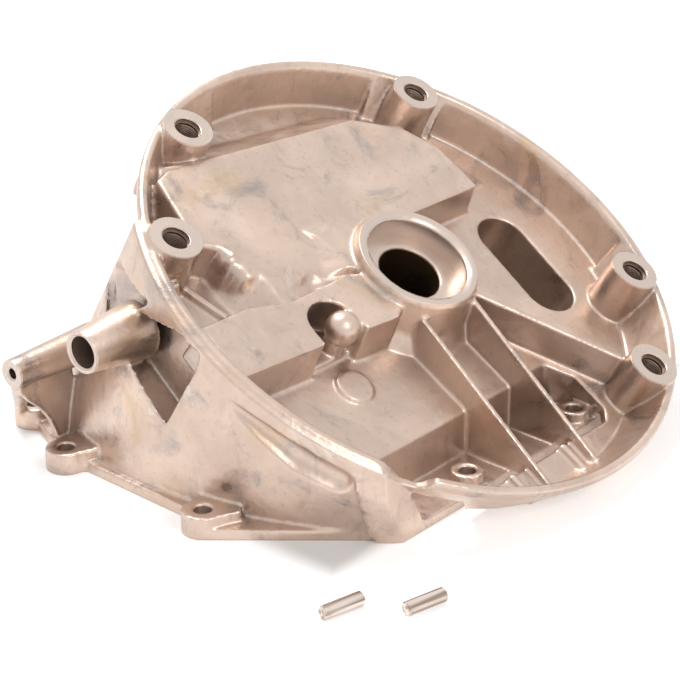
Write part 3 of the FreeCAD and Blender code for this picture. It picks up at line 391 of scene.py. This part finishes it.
# painted reflection in part: dark and bright bands along the pins, besides drawing marks
colour = blend_colour(tree, ramp(tree, drawn_bands_and_sheen, 0.36, 0.62), (0.36, 0.27, 0.22, 1), (0.80, 0.70, 0.63, 1))
colour = blend_colour(tree, ramp(tree, smear_and_sheen, 0.5, 0.75, 0.0, 0.15), colour, (0.30, 0.235, 0.20, 1))
feed(tree, shader.inputs["Base Color"], colour)
shader.inputs["Metallic"].default_value = 1.0
feed(tree, shader.inputs["Roughness"], ramp(tree, smear_and_sheen, 0.3, 0.7, 0.14, 0.24))
relief = add_node(tree, "ShaderNodeBump")
relief.inputs["Strength"].default_value = 0.05
relief.inputs["Distance"].default_value = 0.01 * MM
feed(tree, relief.inputs["Height"], drawn_bands_and_sheen)
feed(tree, shader.inputs["Normal"], relief.outputs[0])
print("steel has", len(tree.nodes), "nodes")

# %% [markdown]
# ## A level copy of the casting
#
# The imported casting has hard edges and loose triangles. A real die casting has neither: every edge that
# the mould made is round. So a copy is merged and turned until the engine face is level. A voxel grid then
# lies flat on that face, and the casting takes it over without steps. First the machined faces get some
# stock, as on a real casting, which the mill takes off again.

# %% Copy, merge and level
STOCK = 1.2 * MM
RING_LEVEL = -1.0 * MM
RING_RADIUS = 26 * MM
TUBE_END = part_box("crankcase")[0].y
HAIR = 0.05 * MM


def merged_copy(node, name):
    """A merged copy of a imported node, alone selected and active."""
    source = frame["nodes"][node]
    piece = bpy.data.objects.new(name, source.data.copy())
    bpy.context.scene.collection.objects.link(piece)
    bpy.ops.object.select_all(action="DESELECT")
    bpy.context.view_layer.objects.active = piece
    piece.select_set(True)
    bpy.ops.object.mode_set(mode="EDIT")
    bpy.ops.mesh.select_all(action="SELECT")
    bpy.ops.mesh.remove_doubles(threshold=0.01 * MM)
    bpy.ops.mesh.customdata_custom_splitnormals_clear()
    bpy.ops.object.mode_set(mode="OBJECT")
    print(name, len(piece.data.polygons), "faces")
    return piece


def grow(piece, direction, is_cut):
    """Move the points of one machined face outwards by the stock."""
    chosen = [vertex for vertex in piece.data.vertices if is_cut(vertex.co)]
    for vertex in chosen:
        vertex.co += STOCK * direction
    print(len(chosen), "points got machining stock")


def face_radius(point):
    """Distance of a point from the crankshaft's axis."""
    return (point - AXIS * point.dot(AXIS)).length


def on_ring(point):
    """Whether a point lies on the machined ring round the seal."""
    return abs(point.dot(AXIS) - RING_LEVEL) < HAIR and face_radius(point) < RING_RADIUS


casting = merged_copy("crankcase", "crankcase_cast")
grow(casting, AXIS, lambda point: point.dot(AXIS) > -HAIR)
grow(casting, AXIS, on_ring)
grow(casting, Vector((0, 0, -1)), lambda point: point.z < GROUND + HAIR)
grow(casting, Vector((0, -1, 0)), lambda point: point.y < TUBE_END + HAIR)
casting.rotation_euler.y = -TILT
bpy.ops.object.transform_apply(location=False, rotation=True, scale=False)

# %% [markdown]
# ## Metal between the features
#
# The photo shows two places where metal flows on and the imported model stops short. The three-sided recess
# over the side tube has a floor, and the deck ends beside the third pad in three round lobes. While the
# casting is level, plain blocks and stretched spheres are pushed into it there, and the remesh melts
# them in.


# %% Add the floor and the lobes
def add_block(low, high, lean=(0, 0, 0), turn=0.0):
    """A box between two corners in millimetres, leaned about its middle, then turned with the casting."""
    middle = [(first + last) / 2 * MM for first, last in zip(low, high)]
    bpy.ops.mesh.primitive_cube_add(size=1, location=(0, 0, 0))
    block = bpy.context.object
    block.scale = [(last - first) * MM for first, last in zip(low, high)]
    block.location = middle
    bpy.ops.object.transform_apply(location=False, rotation=False, scale=True)
    block.rotation_euler = [math.radians(angle) for angle in lean]
    bpy.ops.object.transform_apply(location=True, rotation=True, scale=False)
    block.rotation_euler.y = turn
    bpy.ops.object.transform_apply(location=False, rotation=True, scale=False)
    return block


def add_lobe(across, down, radius, top, bottom=-21.0):
    """One upright lobe with a round top, placed on the levelled engine face in millimetres."""
    bpy.ops.mesh.primitive_uv_sphere_add(segments=40, ring_count=24, radius=radius * MM,
                                         location=(across * MM, down * MM, bottom * MM))
    lobe = bpy.context.object
    lobe.scale.z = (top - bottom) / radius
    bpy.ops.object.transform_apply(location=True, rotation=False, scale=True)
    return lobe


RECESS_LEAN = -16.7
TROUGH_LEAN = 11.6
added = [
    add_block((-66.5, -98.0, -13.0), (-36.0, -93.5, 8.0), turn=-TILT),
    add_block((-71.5, -97.2, -14.0), (-64.0, -94.0, 5.0), lean=(RECESS_LEAN, 0, 0), turn=-TILT),
    add_block((-40.0, -68.2, -20.9), (-25.0, -58.0, -7.1), lean=(0, TROUGH_LEAN, 0)),
    add_lobe(-38.2, -69.0, 5.2, -5.7),
    add_lobe(-32.6, -69.2, 5.0, -6.7),
    add_lobe(-27.2, -67.2, 5.2, -8.0),
]
bpy.ops.object.select_all(action="DESELECT")
for metal in added + [casting]:
    metal.select_set(True)
bpy.context.view_layer.objects.active = casting
bpy.ops.object.join()
print("added", len(added), "pieces of metal")

# %% [markdown]
# ## Cast edges
#
# A voxel remesh gives the whole skin even cells, and a smooth modifier then rounds every edge by about
# a millimetre and a half. The lobes are rounder still, so they get three times the rounds. Decimate takes
# the cells out again where the metal is flat.

# %% Remesh, round and thin
VOXEL = 0.65 * MM
ROUNDS = 12
MOST_FACES = 180000
LOBES = Vector((-32, -69, -9)) * MM
LOBES_REACH = 15 * MM


def finish_with(piece, kind, **values):
    """Add one modifier, set it up and apply it."""
    modifier = piece.modifiers.new(kind.lower(), kind)
    for label, value in values.items():
        setattr(modifier, label, value)
    bpy.context.view_layer.objects.active = piece
    bpy.ops.object.modifier_apply(modifier=modifier.name)
    print(kind.lower(), "leaves", len(piece.data.polygons), "faces")


finish_with(casting, "REMESH", mode="VOXEL", voxel_size=VOXEL, adaptivity=0)
finish_with(casting, "SMOOTH", factor=0.5, iterations=ROUNDS)
soft = casting.vertex_groups.new(name="lobes")
near = [vertex.index for vertex in casting.data.vertices if (vertex.co - LOBES).length < LOBES_REACH]
soft.add(near, 1.0, "REPLACE")
finish_with(casting, "SMOOTH", factor=0.5, iterations=3 * ROUNDS, vertex_group="lobes")
finish_with(casting, "DECIMATE", ratio=min(1.0, MOST_FACES / (2 * len(casting.data.polygons))))
casting.rotation_euler.y = TILT
bpy.ops.object.transform_apply(location=False, rotation=True, scale=False)

# %% [markdown]
# ## Mill the flat faces
#
# The mill and the drill come after casting, and leave sharp edges. Each tool here is turned as on a
# lathe: a disc is extruded and scaled ring by ring. A boolean then takes the tool's space away. The first
# four cuts are flat: the pads, the ring round the seal, the split face and the ends of the tubes.


# %% Turn a tool and cut with it
def turned_tool(profile, place, axis, sides=64):
    """A closed turned cutter through (radius, height) pairs in millimetres, stood on an axis."""
    radius, height = profile[0]
    bpy.ops.mesh.primitive_circle_add(vertices=sides, radius=radius * MM, fill_type="NGON",
                                      location=(0, 0, 0))
    tool = bpy.context.object
    bpy.ops.object.mode_set(mode="EDIT")
    bpy.ops.mesh.select_all(action="SELECT")
    bpy.ops.transform.translate(value=(0, 0, height * MM))
    for next_radius, next_height in profile[1:]:
        step = (0, 0, (next_height - height) * MM)
        bpy.ops.mesh.extrude_region_move(TRANSFORM_OT_translate={"value": step})
        growth = next_radius / radius
        bpy.ops.transform.resize(value=(growth, growth, 1), center_override=(0, 0, next_height * MM))
        radius, height = next_radius, next_height
    bpy.ops.mesh.select_all(action="SELECT")
    bpy.ops.mesh.normals_make_consistent(inside=False)
    bpy.ops.object.mode_set(mode="OBJECT")
    tool.rotation_euler = Vector(axis).to_track_quat("Z", "Y").to_euler()
    tool.location = place
    bpy.ops.object.transform_apply(location=True, rotation=True, scale=True)
    return tool


def cut_away(piece, tool):
    """Take a tool's space out of a piece, and the tool with it."""
    bpy.ops.object.select_all(action="DESELECT")
    finish_with(piece, "BOOLEAN", operation="DIFFERENCE", object=tool, solver="MANIFOLD")
    bpy.data.objects.remove(tool)


UP = Vector((0, 0, 1))
MILL = [(200, 0), (200, 30)]
RING_MILL = [(27.5, -1), (27.5, 20)]
TUBE_MILL = [(100, 0), (100, 30)]
cut_away(casting, turned_tool(MILL, (0, 0, 0), AXIS))
cut_away(casting, turned_tool(RING_MILL, (0, 0, 0), AXIS))
cut_away(casting, turned_tool(MILL, (0, 0, GROUND), -UP))
cut_away(casting, turned_tool(TUBE_MILL, (-70 * MM, TUBE_END, -20 * MM), (0, -1, 0)))

# %% [markdown]
# ## Bores and threads
#
# Every hole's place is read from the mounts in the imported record. The five pads have a short counterbore
# and a thread below it. The thread is a stack of rings instead of a helix, because nobody can tell them
# apart inside a hole. All the tools are joined, so one boolean cuts every bore.

# %% Drill the bores
THREAD = {"crest": 4.85, "root": 5.1, "pitch": 1.0, "turns": 15, "bottom": -17.8}
DRILL_TIP = [(0.6, -22), (4.85, -19)]
COUNTERBORE = [(4.85, -2.2), (5.35, -2.2), (5.35, -0.5), (5.8, 0.05), (5.8, 2)]
CRANK_AND_SEAL = [(12.7, -60), (12.7, -10), (20.6, -10), (20.6, -2.3), (22.8, -1), (22.8, 3)]


def thread_profile():
    """The side of a tapped hole, from its drilled tip up to the pad's face."""
    profile = list(DRILL_TIP)
    for turn in range(THREAD["turns"]):
        low = THREAD["bottom"] + turn * THREAD["pitch"]
        profile += [(THREAD["crest"], low), (THREAD["root"], low + THREAD["pitch"] / 2)]
    return profile + COUNTERBORE


def end_of(name):
    """The far end of a mount's bore, and its axis."""
    mount = mounts[name]
    axis = Vector(mount["axis"])
    return Vector(mount["pos_m"]) + axis * mount["dims"]["length_mm"] / 2 * MM, axis


tools = [turned_tool(CRANK_AND_SEAL, (0, 0, 0), AXIS, 128)]
for name in sorted(mounts):
    radius = mounts[name]["dims"].get("r_mm")
    length = mounts[name]["dims"].get("length_mm")
    if name.startswith("pad_hole"):
        centre = Vector(mounts[name]["pos_m"])
        tools.append(turned_tool(thread_profile(), centre - AXIS * centre.dot(AXIS), AXIS, 48))
    elif name.startswith("flange_bolt"):
        top, axis = end_of(name)
        bolt = [(radius, -length - 2), (radius, -0.7), (radius + 1, 0.3), (radius + 1, 1.5)]
        tools.append(turned_tool(bolt, top, axis, 40))
    elif name.startswith(("tube_bore", "dowel_bore")):
        mouth, axis = end_of(name)
        drill = [(radius, -length), (radius, -0.6), (radius + 0.6, 0), (radius + 0.6, 2)]
        tools.append(turned_tool(drill, mouth, axis, 48))
bpy.ops.object.select_all(action="DESELECT")
for tool in tools:
    tool.select_set(True)
bpy.context.view_layer.objects.active = tools[0]
bpy.ops.object.join()
cut_away(casting, tools[0])
casting.select_set(True)
bpy.context.view_layer.objects.active = casting
bpy.ops.object.shade_smooth_by_angle(angle=math.radians(32))
print("joined and cut with", len(tools), "tools")

# %% [markdown]
# ## Pins and dressing
#
# The pins need no casting look. Their merged copies are only shaded smooth across the round face,
# while the chamfers stay crisp. Then every piece gets its material and its body.

# %% Dress every piece
pieces = {"crankcase": casting}
for node in ("dowel_pin_left", "dowel_pin_right"):
    pieces[node] = merged_copy(node, node + "_ground")
    bpy.ops.object.shade_smooth_by_angle(angle=math.radians(30))
LOOKS = {"crankcase": cast, "dowel_pin_left": steel, "dowel_pin_right": steel}
for node, piece in pieces.items():
    piece.data.materials.clear()
    piece.data.materials.append(LOOKS[node])
    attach(piece, "root")
    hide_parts(node)

# %% [markdown]
# ## Floor
#
# The photograph is a cut-out on white. The floor is plain white and keeps a soft shadow. It glows a little
# for the camera and for reflections, but not under the casting, or the chamber would shine through the
# bore and the slot.

# %% Floor
FLOOR_GLOW = 0.42
FOOT_MIDDLE = -30 * MM
FOOT_HALF_LENGTH = 88 * MM
FOOT_HALF_WIDTH = 118 * MM
bpy.ops.object.select_all(action="DESELECT")
bpy.ops.mesh.primitive_plane_add(size=8, location=(0, 0, GROUND))
floor = bpy.context.object
floor.name = "floor"
white = bpy.data.materials.new("floor_white")
white.use_nodes = True
tree = white.node_tree
shader = tree.nodes["Principled BSDF"]
shader.inputs["Base Color"].default_value = (0.9, 0.9, 0.9, 1)
shader.inputs["Roughness"].default_value = 0.9
shader.inputs["Specular IOR Level"].default_value = 0.0
shader.inputs["Emission Color"].default_value = (1, 1, 1, 1)
rays = add_node(tree, "ShaderNodeLightPath")
seen = maths(tree, "MAXIMUM", rays.outputs["Is Camera Ray"], rays.outputs["Is Glossy Ray"])
spot = add_node(tree, "ShaderNodeSeparateXYZ")
feed(tree, spot.inputs[0], add_node(tree, "ShaderNodeTexCoord").outputs["Object"])
aside = maths(tree, "ABSOLUTE", maths(tree, "DIVIDE", spot.outputs["Y"], FOOT_HALF_WIDTH))
from_middle = maths(tree, "SUBTRACT", spot.outputs["X"], FOOT_MIDDLE)
lengthways = maths(tree, "ABSOLUTE", maths(tree, "DIVIDE", from_middle, FOOT_HALF_LENGTH))
beside = ramp(tree, maths(tree, "MAXIMUM", aside, lengthways), 0.9, 1.0)
glow = maths(tree, "MULTIPLY", maths(tree, "MULTIPLY", seen, beside), FLOOR_GLOW)
feed(tree, shader.inputs["Emission Strength"], glow)
floor.data.materials.append(white)
print("floor at", GROUND, "m")

# %% [markdown]
# ## World
#
# The world is white where the camera or a reflection sees it, and dimmer where it lights the metal. So the
# background stays clean while the pockets keep their shade.

# %% World
SKY_LIGHT = 0.55
world = bpy.data.worlds.new("studio")
bpy.context.scene.world = world
world.use_nodes = True
tree = world.node_tree
sky = tree.nodes["Background"]
rays = add_node(tree, "ShaderNodeLightPath")
seen = maths(tree, "MAXIMUM", rays.outputs["Is Camera Ray"], rays.outputs["Is Glossy Ray"])
seen = maths(tree, "MAXIMUM", seen, rays.outputs["Is Transmission Ray"])
feed(tree, sky.inputs["Strength"], ramp(tree, seen, 0.0, 1.0, SKY_LIGHT, 1.0))
sky.inputs["Color"].default_value = (1, 1, 1, 1)
print("sky light", SKY_LIGHT)

# %% [markdown]
# ## Lamps
#
# Two softboxes give the metal its direction: a large one above the far side, which draws the bright
# edges, and a weaker one from the right that opens the bowl.


# %% Lamps
def softbox(name, place, aim, size, watts):
    """A rectangular lamp that looks at a point."""
    lamp = bpy.data.lights.new(name, "AREA")
    lamp.shape = "RECTANGLE"
    lamp.size = size[0]
    lamp.size_y = size[1]
    lamp.energy = watts
    holder = bpy.data.objects.new(name, lamp)
    holder.location = place
    holder.rotation_euler = (Vector(aim) - Vector(place)).to_track_quat("-Z", "Y").to_euler()
    bpy.context.scene.collection.objects.link(holder)


softbox("key_light", (-0.45, 0.1, 0.95), (0, 0, 0), (0.5, 0.5), 6)
softbox("fill_light", (0.9, -0.2, 0.7), (0, 0, 0), (0.4, 0.4), 2.5)
print("lamps:", sorted(lamp.name for lamp in bpy.data.lights))

# %% [markdown]
# ## Finish
#
# View settings stay plain.

# %% Finish
bpy.context.scene.view_settings.view_transform = "Standard"
